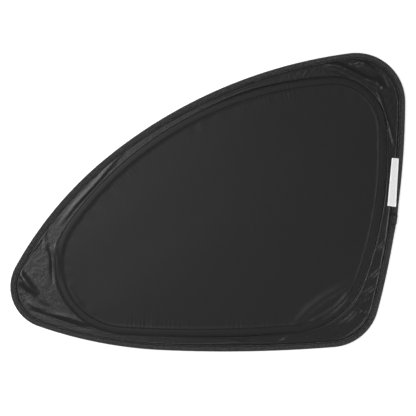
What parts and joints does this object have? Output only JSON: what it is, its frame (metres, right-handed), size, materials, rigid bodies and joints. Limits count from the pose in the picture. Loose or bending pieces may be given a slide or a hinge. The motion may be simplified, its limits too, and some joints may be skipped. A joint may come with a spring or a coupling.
{
  "type": "car side window sunshade",
  "caption": "Dark fabric sunshade for a car side window: a panel and slack border on a sprung wire hoop in a bound rim.",
  "frame": {"origin": "on the surface that it lies on, under the middle of the rim's outer box", "axes": "+X to the rear of the car, where the label is; +Y up the window; +Z out of the front of the cloth"},
  "size_m": [0.5128, 0.388, 0.0057],
  "materials": {
    "binding_tape": "matt woven tape",
    "spring_wire": "bright drawn wire",
    "sleeve_steel": "crimped tube",
    "border_cloth": "thin cloth with a sheen",
    "panel_cloth": "smooth close-woven cloth",
    "label_tape": "white woven tape, blank"
  },
  "bodies": {
    "root": {"edge_binding": "binding_tape", "spring_hoop": "spring_wire", "hoop_sleeve": "sleeve_steel", "border_panel": "border_cloth", "center_panel": "panel_cloth", "label": "label_tape"}
  },
  "joints": []
}
